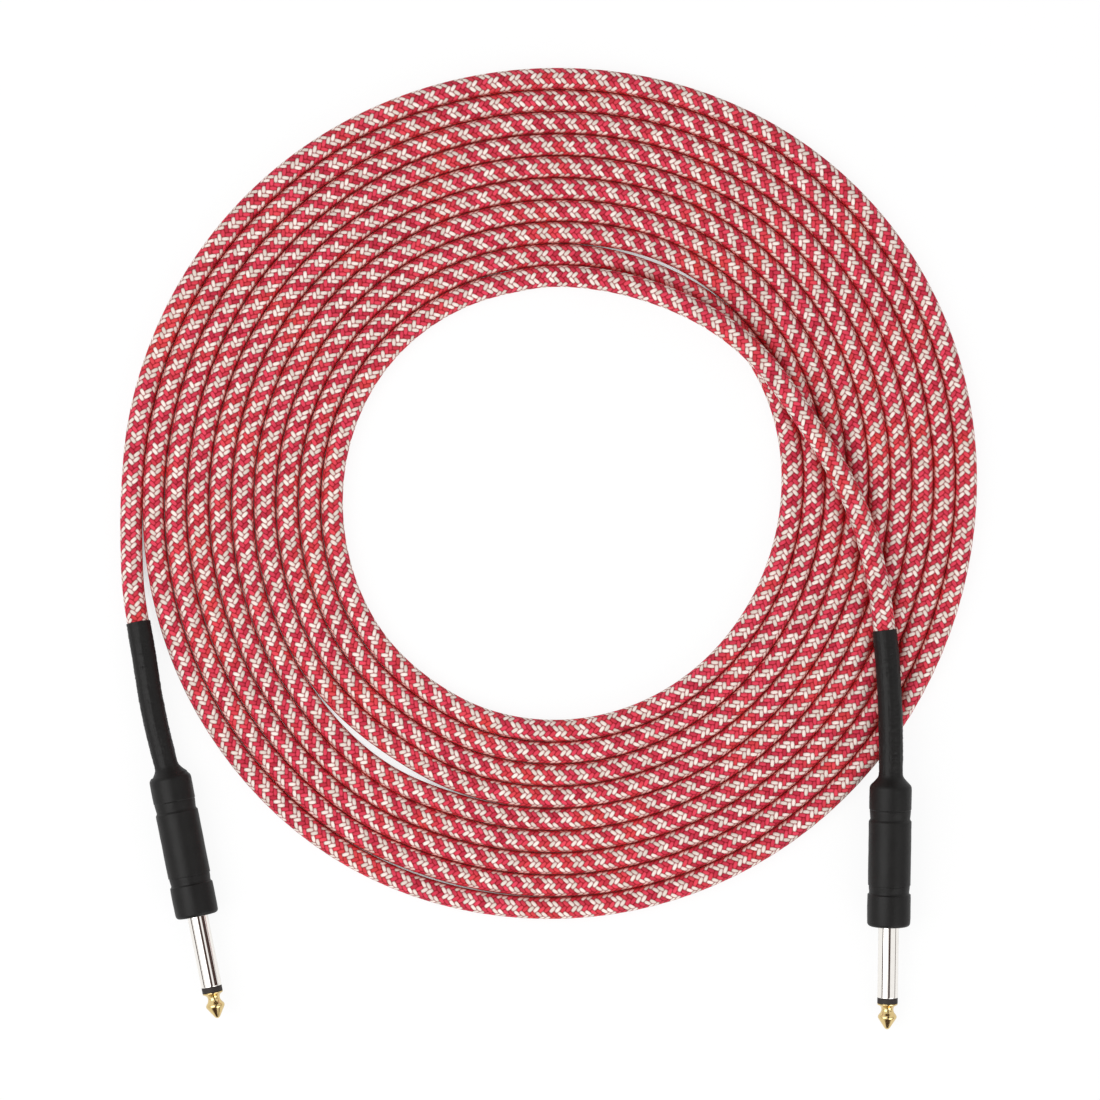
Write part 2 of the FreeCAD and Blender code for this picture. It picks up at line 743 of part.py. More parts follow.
def heat_shrink(name, label, plug):
    """Black sleeve shrunk over the housing, turned in at the front lip, and over the cord behind it."""
    inner_r = f"({HOUSING_R} + fit_gap / 2)"
    outer = (
        ("-shrink_tail_straight", TAIL_R),
        ("-housing_cone_length - 2 * shrink_wall", TAIL_R),
        ("-shrink_wall / 2", HANDLE_R),
        *dip("groove_place", HANDLE_R, "shrink_dip_width / 2"),
        *dip(COLLAR_BACK, HANDLE_R, "shrink_dip_width / 2"),
        ("handle_length - shrink_lip_round", HANDLE_R),
        ("handle_length", f"{HANDLE_R} - shrink_lip_round", "shrink_lip_round", -1),
        ("handle_length", "shrink_lip_hole / 2"),
    )
    inner = (
        (FACE, "shrink_lip_hole / 2"),
        (FACE, f"{HOUSING_R} - collar_bevel / 2"),
        (f"{FACE} - collar_bevel / 2", inner_r),
        *reversed(dip(COLLAR_BACK, inner_r, "collar_bevel")),
        *reversed(dip("groove_place", inner_r, "groove_width / 2")),
        ("0", inner_r),
        (CONE_BACK, f"{CONE_END_R} + fit_gap"),
        (CONE_BACK, TAIL_INNER_R),
        ("-shrink_tail_straight", TAIL_INNER_R),
    )
    cover = turned(name + "_cover", name + "_cover", outer + inner)
    wire = tail_wire(plug)
    hollow = swept_round(wire, value_of(TAIL_R)).cut(swept_round(wire, value_of(TAIL_INNER_R)))
    tail = feature(name + "_tail", name + "_tail", hollow, FreeCAD.Placement())
    sleeve = fused(name, cover, tail)
    sleeve.Label = label
    return sleeve


def cord_lead(name, label, plug):
    """Plain tube of the free cord from the coil to the plug."""
    points = lead_points(plug)
    radii = corner_radii(points)
    wire = rounded_wire(points, radii)
    shape = swept_round(wire, size("cord_diameter") / 2)
    section = math.pi * size("cord_diameter") ** 2 / 4
    print(f"{label}: length {wire.Length:.1f}, radii {[round(radius) for radius in radii]}, "
          f"volume over section times length {shape.Volume / (section * wire.Length):.4f}")
    return feature(name, label, shape, FreeCAD.Placement())


def build_plug(plug):
    """Every piece of one plug, set at its place, by label."""
    placement = plug_placement(plug)
    pieces = []
    for make in (
        tip_contact, ring_insulator, rod_sleeving, jack_sleeve, rear_bush, tip_tag, sleeve_tag,
        housing, housing_liner, cable_braid, cable_jacket, cable_core,
    ):
        label = f"{plug}_{make.__name__}"
        pieces.append(make(label + "_body", label))
    doc.recompute()
    at_origin = FreeCAD.Placement()
    wire = core_wire(f"{plug}_core_wire_body", f"{plug}_core_wire", at_origin)
    shield = cable_shield(f"{plug}_cable_shield_body", f"{plug}_cable_shield", at_origin)
    pieces += [wire, shield]
    pieces.append(tip_solder(f"{plug}_tip_solder_body", f"{plug}_tip_solder", at_origin, wire))
    pieces.append(sleeve_solder(f"{plug}_sleeve_solder_body", f"{plug}_sleeve_solder", at_origin, shield))
    pieces.append(heat_shrink(f"{plug}_heat_shrink_body", f"{plug}_heat_shrink", plug))
    for piece in pieces:
        piece.Placement = placement
    return pieces


def main():
    """Builds the cable, checks every object and writes one STEP file for each piece."""
    pieces = build_plug("plug_a") + build_plug("plug_b")
    pieces.append(feature("cord_coil_body", "cord_coil", coil_shape(), FreeCAD.Placement()))
    pieces.append(cord_lead("cord_lead_a_body", "cord_lead_a", "plug_a"))
    pieces.append(cord_lead("cord_lead_b_body", "cord_lead_b", "plug_b"))
    doc.recompute()
    for item in doc.Objects:
        if "Invalid" in item.State or "Error" in item.State:
            raise RuntimeError(f"{item.Label}: {item.State}")
    for piece in pieces:
        if piece.Shape.isNull() or not piece.Shape.isValid() or len(piece.Shape.Solids) != 1:
            raise RuntimeError(f"{piece.Label} is not one valid solid")
    coil_length = sum(
        math.radians(1) * coil_radius(wound) for wound in range(round(inner_end()))
    )
    print(f"cord in the coil {coil_length:.0f} mm")
    os.makedirs("parts", exist_ok=True)
    for piece in pieces:
        piece.Shape.exportStep(os.path.join("parts", piece.Label + ".step"))


main()
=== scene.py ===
"""Instrument cable: six metres of braided cord wound flat, with a quarter-inch jack plug on each end.

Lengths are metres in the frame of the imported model: +Z up, origin on the table. Each plug has a frame
of its own, with its origin on the axis at the handle's rear shoulder and +X towards the tip.
"""

from __future__ import annotations

import json
import logging
import math
import sys
from collections.abc import Callable, Mapping, Sequence
from dataclasses import dataclass, field
from enum import Enum
from functools import partial

import bpy
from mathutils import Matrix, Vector, noise

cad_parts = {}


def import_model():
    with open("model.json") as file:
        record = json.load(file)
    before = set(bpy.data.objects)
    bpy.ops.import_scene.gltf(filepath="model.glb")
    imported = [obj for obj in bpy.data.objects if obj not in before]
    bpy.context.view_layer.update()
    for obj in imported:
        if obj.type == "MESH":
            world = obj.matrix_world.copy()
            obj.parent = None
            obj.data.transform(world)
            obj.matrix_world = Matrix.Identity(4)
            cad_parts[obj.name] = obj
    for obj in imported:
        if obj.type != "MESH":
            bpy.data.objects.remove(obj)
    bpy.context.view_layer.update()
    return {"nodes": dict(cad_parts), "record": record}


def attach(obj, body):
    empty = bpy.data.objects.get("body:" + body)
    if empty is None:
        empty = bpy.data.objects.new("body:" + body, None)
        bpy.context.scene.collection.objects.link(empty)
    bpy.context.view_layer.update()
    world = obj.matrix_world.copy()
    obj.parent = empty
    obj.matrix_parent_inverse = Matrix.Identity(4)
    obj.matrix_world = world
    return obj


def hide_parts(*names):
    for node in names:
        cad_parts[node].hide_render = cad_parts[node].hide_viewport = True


LOG = logging.getLogger("instrument_cable")
MM = 0.001
CORD_DIAMETER = 6.6 * MM
CORD_FACE = -1.0 * MM
SHARPEST_SMOOTH = math.radians(38.0)

MATH = "ShaderNodeMath"
MIX = "ShaderNodeMix"
NOISE = "ShaderNodeTexNoise"
RANGE = "ShaderNodeMapRange"
AddNode = Callable[..., bpy.types.Node]


class Slot(Enum):
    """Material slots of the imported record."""

    GOLD = "gold_plate"
    RING = "ring_plastic"
    NICKEL = "nickel_plate"
    BRAID = "textile_braid"
    HEAT_SHRINK = "heat_shrink"


class Plug(Enum):
    """The two plugs, by the name that their nodes and mounts start with."""

    A = "a"
    B = "b"


# ---- node trees ----
def linear(hex_colour: str) -> tuple[float, float, float, float]:
    """Linear colour of an sRGB hex value.

    Args:
        hex_colour: Six hexadecimal digits, with or without a leading #.

    Returns:
        Red, green, blue and an alpha of 1.
    """
    digits = hex_colour.lstrip("#")
    channels = []
    for start in (0, 2, 4):
        value = int(digits[start:start + 2], 16) / 255
        channels.append(value / 12.92 if value <= 0.04045 else ((value + 0.055) / 1.055) ** 2.4)
    return (channels[0], channels[1], channels[2], 1.0)


def add_node(
    tree: bpy.types.NodeTree,
    kind: str,
    inputs: Mapping[int | str, object] | Sequence[object] = (),
    **settings: object,
) -> bpy.types.Node:
    """Adds a node with its settings, values and links.

    Args:
        tree: Tree that gets the node.
        kind: Type name of the node.
        inputs: What the inputs get, in order or by name or index: a value, an output socket, or a
            node, which stands for its first output in use.
        settings: Attributes of the node itself.

    Returns:
        The new node.
    """
    node = tree.nodes.new(kind)
    for name, value in settings.items():
        setattr(node, name, value)
    for key, value in inputs.items() if isinstance(inputs, Mapping) else enumerate(inputs):
        if isinstance(value, bpy.types.Node):
            value = next(output for output in value.outputs if output.enabled)
        if isinstance(value, bpy.types.NodeSocket):
            tree.links.new(value, node.inputs[key])
        else:
            node.inputs[key].default_value = value
    return node


def empty_material(name: str) -> tuple[bpy.types.Material, AddNode]:
    """Material with an empty tree, and the function that adds nodes to that tree."""
    material = bpy.data.materials.new(name)
    material.use_nodes = True
    material.node_tree.nodes.clear()
    return material, partial(add_node, material.node_tree)


# ---- finishes ----
@dataclass(frozen=True)
class BraidedYarn:
    """Polyester yarn braided two over and two under, with red and white ends in pairs each way."""

    # braided polyester: soft rounded floats with hollows between them darkened by painted shade, and
    # hardly any gloss
    name: str = "polyester_yarn_braided"
    reds: tuple[str, str] = ("#9A0F28", "#EA4A62")
    warm_red: str = "#E8503F"
    whites: tuple[str, str] = ("#FBEEE6", "#CDBFB4")
    # colour of the painted shade that darkens the yarn where it sinks into the hollows between floats
    painted_hollow_shade: str = "#AE7074"
    # colour of the painted red shade that multiplies the yarn where turns lie close together
    crease: str = "#F04A44"
    ends: int = 4
    repeats_round: int = 3
    repeat: float = 6.7 * MM
    # a yarn stands about a quarter of a millimetre proud of its neighbours' edges
    yarn_height: float = 0.22 * MM
    dye_lot: float = 11.1 * MM
    # single fibres are too fine to show, so seven coarse strands are drawn across a yarn
    strands: float = 7.0

    def material(self) -> bpy.types.Material:
        """Colour of the yarn that lies on top at each place, with its round in the bump.

        Returns:
            The material, which reads the cord's own UV map: repeats along it and turns round it.
        """
        material, add = empty_material(self.name)
        axes = add("ShaderNodeSeparateXYZ", (add("ShaderNodeUVMap", uv_map="braid"),))
        ends_round = float(self.ends * self.repeats_round)
        along = add(MATH, (axes.outputs[0], float(self.ends)), operation="MULTIPLY")
        sideways = add(MATH, (axes.outputs[1], ends_round), operation="MULTIPLY")
        left_place = add(MATH, (along, sideways), operation="ADD")
        right_place = add(MATH, (along, sideways), operation="SUBTRACT")
        left = self.float_of(add, left_place, right_place, 0.0)
        right = self.float_of(add, right_place, left_place, 1.0)
        left_on_top = add(MATH, (left["run"], 0.5), operation="LESS_THAN")
        top: dict[str, bpy.types.Node] = {}
        for key in ("height", "white", "pick", "fibre"):
            gap = add(MATH, (left[key], right[key]), operation="SUBTRACT")
            top[key] = add(MATH, (gap, left_on_top, right[key]), operation="MULTIPLY_ADD")
        relief = add(MATH, (top["fibre"], 0.12, top["height"]), operation="MULTIPLY_ADD")
        bump = {"Height": relief, "Distance": self.yarn_height, "Strength": 0.6}
        look = {
            "Base Color": self.colour_of(add, top),
            "Normal": add("ShaderNodeBump", bump),
            "Roughness": 0.8,
            "Specular IOR Level": 0.15,
            "Sheen Weight": 0.04,
            "Sheen Roughness": 0.5,
        }
        add("ShaderNodeOutputMaterial", (add("ShaderNodeBsdfPrincipled", look),))
        return material

    def float_of(
        self, add: AddNode, across: bpy.types.Node, lengthwise: bpy.types.Node, lead: float
    ) -> dict[str, bpy.types.Node]:
        """The yarn of one family at a place, and the float that it makes there.

        Args:
            add: Adds a node to the material's tree.
            across: Place across the family's yarns, one whole number to a yarn.
            lengthwise: Place along them, one whole number to a yarn that they cross.
            lead: Crossed yarns from a yarn's own number to the start of its float.

        Returns:
            Run along the float (on top below a half), height, white share, fibre and a random pick.
        """
        ends = float(self.ends)
        yarn = add(MATH, (across,), operation="FLOOR")
        part = add(MATH, (across, yarn), operation="SUBTRACT")
        ahead = add(MATH, (lengthwise, yarn), operation="SUBTRACT")
        since = add(MATH, (ahead, lead), operation="SUBTRACT")
        turns = add(MATH, (since, ends), operation="DIVIDE")
        count = add(MATH, (turns,), operation="FLOOR")
        run = add(MATH, (turns, count), operation="SUBTRACT")
        # a float is round across and bows down to the yarns that it passes under at its two ends
        falls = []
        for place, spans, power in ((part, 2.0, 2.4), (run, 4.0, 2.8)):
            signed = add(MATH, (place, spans, -1.0), operation="MULTIPLY_ADD")
            off = add(MATH, (signed,), operation="ABSOLUTE")
            falls.append(add(MATH, (off, power), operation="POWER"))
        fall = add(MATH, falls, operation="ADD")
        rest = add(MATH, (1.0, fall), operation="SUBTRACT")
        number = add(MATH, (yarn, ends), operation="FLOORED_MODULO")
        start = add(MATH, (count, ends, lead), operation="MULTIPLY_ADD")
        # the same float has two numbers at the seam of the map, and these two sums are alike in both
        first = add(MATH, (yarn, 2.0, start), operation="MULTIPLY_ADD")
        minus = add(MATH, (start, -1.0), operation="MULTIPLY")
        ring = float(2 * self.ends * self.repeats_round)
        second = add(MATH, (minus, ring), operation="FLOORED_MODULO")
        which = add("ShaderNodeCombineXYZ", (first, second, lead))
        strand = add(MATH, (part, self.strands), operation="MULTIPLY")
        fibres = add("ShaderNodeCombineXYZ", (strand, run, first))
        return {
            "run": run,
            "height": add(MATH, (rest, 0.0), operation="MAXIMUM"),
            "white": add(MATH, (number, self.ends / 2 - 0.5), operation="GREATER_THAN"),
            "fibre": add(NOISE, {"Vector": fibres, "Scale": 1.0, "Detail": 1.0}),
            "pick": add("ShaderNodeTexWhiteNoise", (which,)),
        }

    def colour_of(self, add: AddNode, top: dict[str, bpy.types.Node]) -> bpy.types.Node:
        """Dyed colour of the yarn on top, with painted shade at its sunken edges and a painted red shade
        between the turns.

        Args:
            add: Adds a node to the material's tree.
            top: Height, white share, fibre and random pick of that yarn.

        Returns:
            The node that gives the colour.
        """
        faint = add(MATH, (top["pick"], 0.6), operation="MULTIPLY")
        tint = add(MATH, (top["fibre"], 0.5, faint), operation="MULTIPLY_ADD")
        # dye lots wander from crimson to a warmer red over a centimetre or two
        place = add("ShaderNodeTexCoord").outputs["Object"]
        lot = add(NOISE, {"Vector": place, "Scale": 1.0 / self.dye_lot, "Detail": 1.0})
        warmth = add(RANGE, (lot, 0.48, 0.8, 0.0, 0.5))
        crimson, pale = (
            add(MIX, {0: tint, 6: linear(near), 7: linear(far)}, data_type="RGBA")
            for near, far in (self.reds, self.whites)
        )
        red = add(MIX, {0: warmth, 6: crimson, 7: linear(self.warm_red)}, data_type="RGBA")
        yarn = add(MIX, {0: top["white"], 6: red, 7: pale}, data_type="RGBA")
        # painted shade: the deeper a yarn's edge sinks between floats, the more the hollow colour
        # darkens it
        sunk = add(MATH, (1.0, top["height"]), operation="SUBTRACT")
        depth = add(MATH, (sunk, 2.2), operation="POWER")
        # painted shade: between turns that touch, where the light has bounced off red yarn several
        # times, the occlusion darkens the yarn and turns it redder
        air = add("ShaderNodeAmbientOcclusion", {"Distance": 5 * MM}, samples=6)
        painted_crease_shade = add(RANGE, (air.outputs["AO"], 0.74, 0.22, 0.0, 1.0))
        for share, shade in ((depth, self.painted_hollow_shade), (painted_crease_shade, self.crease)):
            layers = {0: share, 6: yarn, 7: linear(shade)}
            yarn = add(MIX, layers, data_type="RGBA", blend_type="MULTIPLY")
        return yarn


@dataclass(frozen=True)
class ShrunkPolyolefin:
    """Black polyolefin tube, shrunk on with heat."""

    # shrunk polyolefin: dull satin black, a little mottled, that shows the room as broad soft bands
    name: str = "polyolefin_heat_shrunk"
    colour: str = "#0E0D0D"
    dull: str = "#181716"
    roughness: float = 0.46
    swing: float = 0.16
    patch: float = 5.56 * MM
    # the film's own grain is finer than this, and is drawn coarser so that it shows
    grain: float = 1.25 * MM

    def material(self) -> bpy.types.Material:
        """Mottled black with fine creases in the bump.

        Returns:
            The material, on object coordinates.
        """
        material, add = empty_material(self.name)
        place = add("ShaderNodeTexCoord").outputs["Object"]
        mottle = add(NOISE, {"Vector": place, "Scale": 1.0 / self.patch, "Detail": 4.0})
        grain = add(NOISE, {"Vector": place, "Scale": 1.0 / self.grain, "Detail": 3.0})
        colours = {0: mottle, 6: linear(self.colour), 7: linear(self.dull)}
        lowest = self.roughness - self.swing / 2
        height = add(MATH, (grain, 0.4, mottle), operation="MULTIPLY_ADD")
        bump = {"Height": height, "Distance": 0.25 * MM, "Strength": 0.5}
        look = {
            "Base Color": add(MIX, colours, data_type="RGBA"),
            "Roughness": add(MATH, (mottle, self.swing, lowest), operation="MULTIPLY_ADD"),
            "Normal": add("ShaderNodeBump", bump),
            "Specular IOR Level": 0.2,
        }
        add("ShaderNodeOutputMaterial", (add("ShaderNodeBsdfPrincipled", look),))
        return material


@dataclass(frozen=True)
class MouldedPlastic:
    """Plastic as it leaves a mould or an extruder: one colour with a fine grain."""

    name: str
    colour: str
    shade: str
    roughness: float = 0.4
    grain: float = 0.4 * MM
    detail: float = 3.0
    swing: float = 0.12
    relief: float = 0.03 * MM
    strength: float = 0.3
    metallic: float = 0.0

    def material(self) -> bpy.types.Material:
        """One colour with the grain in its shade, its roughness and its bump.

        Returns:
            The material, on object coordinates.
        """
        material, add = empty_material(self.name)
        place = add("ShaderNodeTexCoord").outputs["Object"]
        grain = add(NOISE, {"Vector": place, "Scale": 1.0 / self.grain, "Detail": self.detail})
        colours = {0: grain, 6: linear(self.colour), 7: linear(self.shade)}
        lowest = self.roughness - self.swing / 2
        bump = {"Height": grain, "Distance": self.relief, "Strength": self.strength}
        look = {
            "Base Color": add(MIX, colours, data_type="RGBA"),
            "Roughness": add(MATH, (grain, self.swing, lowest), operation="MULTIPLY_ADD"),
            "Normal": add("ShaderNodeBump", bump),
            "Metallic": self.metallic,
        }
        add("ShaderNodeOutputMaterial", (add("ShaderNodeBsdfPrincipled", look),))
        return material


@dataclass(frozen=True)
class TurnedMetal(MouldedPlastic):
    """Metal turned, stamped or drawn, then plated: bright, with a slightly uneven polish."""

    roughness: float = 0.16
    # polishing marks are finer than this, and are drawn coarser so that they show
    grain: float = 1.11 * MM
    detail: float = 4.0
    swing: float = 0.06
    relief: float = 0.01 * MM
    strength: float = 0.08
    metallic: float = 1.0


# ---- meshes ----
def mesh_object(
    name: str, vertices: Sequence[Vector], faces: Sequence[tuple[int, ...]], material: bpy.types.Material
) -> bpy.types.Object:
    """Mesh object at the origin with one material, smooth but for its turned edges.

    Args:
        name: Name of the piece.
        vertices: Its points in the row's frame.
        faces: Its faces, by index.
        material: Its finish.

    Returns:
        The object, linked to the scene.
    """
    mesh = bpy.data.meshes.new(name)
    mesh.from_pydata([tuple(point) for point in vertices], [], faces)
    mesh.materials.append(material)
    mesh.polygons.foreach_set("use_smooth", [True] * len(mesh.polygons))
    mesh.validate()
    mesh.set_sharp_from_angle(angle=SHARPEST_SMOOTH)
    piece = bpy.data.objects.new(name, mesh)
    bpy.context.scene.collection.objects.link(piece)
    return piece


def evaluated_mesh(holder: bpy.types.Object) -> bpy.types.Mesh:
    """New plain mesh of an object with its modifiers."""
    depsgraph = bpy.context.evaluated_depsgraph_get()
    return bpy.data.meshes.new_from_object(holder.evaluated_get(depsgraph))


def rings_to_faces(rings: int, sides: int) -> list[tuple[int, ...]]:
    """Quads between closed rings of points, with a face over each end.

    Args:
        rings: How many rings follow one another.
        sides: How many points each ring has.

    Returns:
        Faces that point outwards where the rings turn left-handed about their direction.
    """
    faces: list[tuple[int, ...]] = []
    for ring in range(rings - 1):
        low = ring * sides
        for side in range(sides):
            nxt = (side + 1) % sides
            faces.append((low + side, low + nxt, low + sides + nxt, low + sides + side))
    faces.append(tuple(reversed(range(sides))))
    faces.append(tuple(range((rings - 1) * sides, rings * sides)))
    return faces


@dataclass
class PlugFrame:
    """Axes of one plug, from the jack's mount in the record."""

    plug: Plug
    record: dict
    shoulder_to_pin_middle: float = 55.325 * MM
    origin: Vector = field(init=False)
    axis: Vector = field(init=False)
    up: Vector = field(init=False)
    left: Vector = field(init=False)

    def __post_init__(self) -> None:
        """Reads the mount and works out the three axes."""
        mount = next(m for m in self.record["mounts"] if m["name"] == f"jack_{self.plug.value}")
        self.axis = Vector(mount["axis"]).normalized()
        self.origin = Vector(mount["pos_m"]) - self.axis * self.shoulder_to_pin_middle
        self.left = Vector((0.0, 0.0, 1.0)).cross(self.axis).normalized()
        self.up = self.axis.cross(self.left).normalized()

    def on_axis(self, place: float) -> Vector:
        """Point on the axis, so far in front of the shoulder."""
        return self.origin + self.axis * place

    def around(self, place: float, radius: float, angle: float) -> Vector:
        """Point at a radius and angle about the axis."""
        side = self.left * math.cos(angle) + self.up * math.sin(angle)
        return self.on_axis(place) + side * radius


# ---- the cord ----
@dataclass
class CoilShape:
    """Flat spiral laid by hand: turns side by side that wander and part a little."""

    middle: Vector = field(default_factory=lambda: Vector((10.2, 100.8, 0.0)) * MM)
    rim_radius: float = 131.9
    pitch: float = 6.84
    whole_turns: int = 9
    inner_end: float = 80.0
    wander: tuple[tuple[int, float, float, float], ...] = (
        (1, 0.6, 1.5, 160.0),
        (2, 1.3, 1.1, -55.0),
        (3, 0.5, 0.6, 30.0),
        (4, 0.3, 0.3, -42.5),
    )
    gaps: tuple[tuple[int, float, float, float], ...] = (
        (5, 303.0, 17.0, 2.4),
        (8, 115.0, 20.0, 1.1),
        (1, 288.0, 14.0, 0.5),
    )
    gap_fade: float = 0.75

    def degrees(self) -> float:
        """Degrees wound from the outer end to the inner one."""
        return self.whole_turns * 360.0 + self.inner_end

    def push(self, clock: float, turn: int) -> float:
        """Shift of a turn, 1 being the outermost, where its neighbours part, in mm."""
        shift = 0.0
        for outside, facing, half_span, width in self.gaps:
            away = (clock - facing + 180.0) % 360.0 - 180.0
            if abs(away) >= half_span:
                continue
            swell = 0.5 + 0.5 * math.cos(math.pi * away / half_span)
            if turn <= outside:
                shift += width / 2 * swell * self.gap_fade ** (outside - turn)
            else:
                shift -= width / 2 * swell * self.gap_fade ** (turn - outside - 1)
        return shift

    def radius(self, wound: float) -> float:
        """Distance of the cord's centre from the coil's middle, in mm, after so many degrees."""
        clock = wound % 360.0
        inward = wound / self.degrees()
        radius = self.rim_radius - self.pitch * wound / 360.0
        for bumps, at_rim, at_hole, facing in self.wander:
            height = at_rim + (at_hole - at_rim) * inward
            radius += height * math.cos(math.radians(bumps * (clock - facing)))
        return radius + self.push(clock, int(wound // 360.0) + 1)

    def direction(self, clock: float) -> Vector:
        """Unit vector from the middle to a clock angle."""
        return Vector((-math.cos(math.radians(clock)), math.sin(math.radians(clock)), 0.0))

    def tangent(self, clock: float) -> Vector:
        """Unit vector of growing clock angle."""
        return Vector((math.sin(math.radians(clock)), math.cos(math.radians(clock)), 0.0))

    def place(self, wound: float, swell: float = 1.0) -> Vector:
        """Point on the cord's centre line, its radius times swell."""
        out = self.direction(wound) * (self.radius(wound) * swell * MM)
        return self.middle + out + Vector((0.0, 0.0, CORD_DIAMETER / 2))

    def over(self, clock: float, share: float, height: float) -> Vector:
        """Point by clock angle, share of the way from hole to rim, and height in cord diameters."""
        band = self.pitch * self.degrees() / 360.0
        radius = self.rim_radius - band * (1.0 - share)
        lift = Vector((0.0, 0.0, height * CORD_DIAMETER))
        return self.middle + self.direction(clock) * (radius * MM) + lift


@dataclass
class CordRoute:
    """The one line of the cord, from plug A round the coil to plug B."""

    plug_a: PlugFrame
    plug_b: PlugFrame
    coil: CoilShape = field(default_factory=CoilShape)
    points_per_turn: int = 36
    lead_a_first_run: float = 15.0 * MM
    lead_a: tuple[tuple[float, float, float], ...] = ((-13.02, 1.024, 0.53), (-19.97, 1.049, 0.76))
    lead_b_first_run: float = 10.0 * MM
    lead_b: tuple[tuple[float, float, float], ...] = (
        (97.6, 0.008, 0.70), (109.1, 0.021, 1.26), (121.4, 0.050, 1.56), (133.0, 0.093, 1.58),
        (144.3, 0.136, 1.56), (155.0, 0.169, 1.56), (164.9, 0.226, 1.56), (173.9, 0.312, 1.56),
        (182.4, 0.413, 1.56), (190.4, 0.508, 1.56), (197.8, 0.605, 1.56), (205.0, 0.721, 1.59),
    )
    run_back: float = -18.0 * MM
    # the shrunk sleeve holds cord A a little off the axis of its plug: at the face, and further back
    sag_a: tuple[float, float] = (0.1 * MM, 1.4 * MM)

    def control_points(self) -> list[Vector]:
        """Points that the cord's spline takes its line from.

        Returns:
            The route of both free ends and the turns between them.
        """
        coil = self.coil
        start = coil.place(0.0)
        points = [
            self.plug_a.on_axis(CORD_FACE) - self.plug_a.left * self.sag_a[0],
            self.plug_a.on_axis(self.run_back) - self.plug_a.left * self.sag_a[1],
        ]
        points += [coil.over(*place) for place in reversed(self.lead_a)]
        points += [start - coil.tangent(0.0) * self.lead_a_first_run, start]
        # a quadratic spline lies inside its points by the cosine of half their step
        swell = 1.0 / math.cos(math.radians(180.0 / self.points_per_turn))
        step = 360.0 / self.points_per_turn
        for count in range(1, int(coil.degrees() / step)):
            points.append(coil.place(count * step, swell))
        end = coil.place(coil.degrees())
        points += [end, end + coil.tangent(coil.inner_end) * self.lead_b_first_run]
        points += [coil.over(*place) for place in self.lead_b]
        points += [self.plug_b.on_axis(self.run_back), self.plug_b.on_axis(CORD_FACE)]
        return points

    def spline(self) -> bpy.types.Object:
        """Open NURBS spline through the route.

        Returns:
            A curve object, linked to the scene.
        """
        points = self.control_points()
        curve = bpy.data.curves.new("cord_line", "CURVE")
        curve.dimensions = "3D"
        spline = curve.splines.new("NURBS")
        spline.points.add(len(points) - 1)
        for target, point in zip(spline.points, points):
            target.co = (*point, 1.0)
        spline.order_u = 3
        spline.use_endpoint_u = True
        spline.resolution_u = 6
        holder = bpy.data.objects.new("cord_line", curve)
        bpy.context.scene.collection.objects.link(holder)
        return holder


